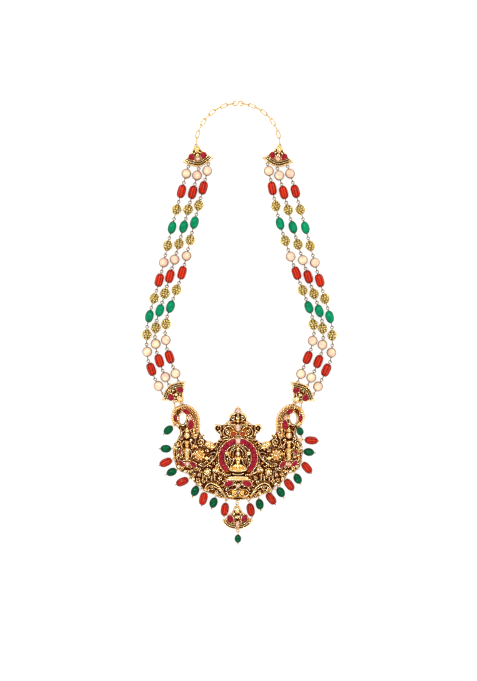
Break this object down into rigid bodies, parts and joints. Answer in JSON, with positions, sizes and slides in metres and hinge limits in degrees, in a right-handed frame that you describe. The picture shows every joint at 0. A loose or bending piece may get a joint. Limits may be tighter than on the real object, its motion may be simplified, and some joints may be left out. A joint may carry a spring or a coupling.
{
  "type": "temple necklace",
  "caption": "Gold temple necklace laid flat: cast figure pendant with ruby ring and bead fringe, side strands of pearl, coral, green and gold beads, closed by a fine chain.",
  "frame": {"origin": "on the pendant's flat back, at the middle of its ruby ring", "axes": "+Y towards the back of the neck, +Z out of the front, away from the surface it lies on"},
  "size_m": [0.1166, 0.2667, 0.0061],
  "materials": {
    "gold": "antique cast gold with dark recesses",
    "ruby": "polished cut red stone",
    "clear_stone": "polished cut clear stone",
    "coral": "polished coral",
    "green_stone": "polished green stone",
    "pearl": "pearl lustre"
  },
  "bodies": {
    "root": {"pendant_frame": "gold", "ring_rubies": "ruby", "pendant_rubies": "ruby", "pendant_clear_stones": "clear_stone", "coral_cabochons": "coral", "left_end_plate": "gold", "right_end_plate": "gold", "end_plate_stones": "ruby", "left_connector_plate": "gold", "right_connector_plate": "gold", "connector_rubies": "ruby", "fan_drop": "gold", "fan_drop_stones": "ruby", "left_outer_pins": "gold", "left_middle_pins": "gold", "left_inner_pins": "gold", "right_outer_pins": "gold", "right_middle_pins": "gold", "right_inner_pins": "gold", "left_pearls": "pearl", "left_coral_beads": "coral", "left_green_beads": "green_stone", "right_pearls": "pearl", "right_coral_beads": "coral", "right_green_beads": "green_stone", "left_drop_pins": "gold", "right_drop_pins": "gold", "drop_coral_beads": "coral", "drop_green_beads": "green_stone", "back_chain_upright_links": "gold", "back_chain_flat_links": "gold", "back_hook": "gold"}
  },
  "joints": []
}
